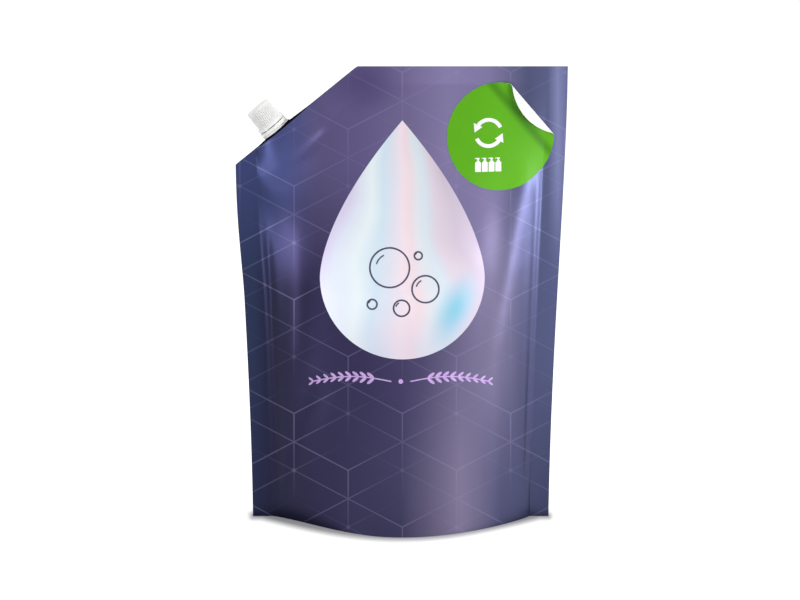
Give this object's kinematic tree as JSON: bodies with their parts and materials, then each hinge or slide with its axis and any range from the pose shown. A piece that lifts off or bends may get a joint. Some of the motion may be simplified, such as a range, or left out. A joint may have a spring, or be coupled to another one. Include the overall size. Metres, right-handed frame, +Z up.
{
  "type": "hand soap refill pack",
  "caption": "Stand-up film refill pouch with a cut-off corner carrying a screw-capped spout, flat sealed edges, a full belly and a bottom gusset.",
  "frame": {"origin": "centre of the bottom rim, on the surface the pack stands on", "axes": "+Z up, the printed front faces -Y, the cut corner and spout are at -X"},
  "size_m": [0.21, 0.0808, 0.3],
  "materials": {
    "satin_film": "satin metallised laminate, printed purple",
    "spout_plastic": "moulded white polyethylene",
    "cap_plastic": "moulded white polypropylene",
    "sticker_paper": "green printed face, white back"
  },
  "bodies": {
    "pack": {"pouch": "satin_film", "spout": "spout_plastic", "refill_sticker": "sticker_paper"},
    "tamper_band": {"tamper_band": "cap_plastic"},
    "cap": {"cap": "cap_plastic"}
  },
  "joints": [
    {"name": "cap_turn", "type": "hinge", "parent": "pack", "child": "tamper_band", "pos_m": [-0.07823, 0, 0.25876], "axis": [-0.6308, 0, 0.776], "range_deg": [0, 840]},
    {"name": "cap_lift", "type": "slide", "parent": "tamper_band", "child": "cap", "axis": [-0.6308, 0, 0.776], "range_m": [0, 0.0141]}
  ],
  "couplings": [
    {"joint": "cap_lift", "follows": "cap_turn", "m_per_rad": 0.00095493}
  ]
}
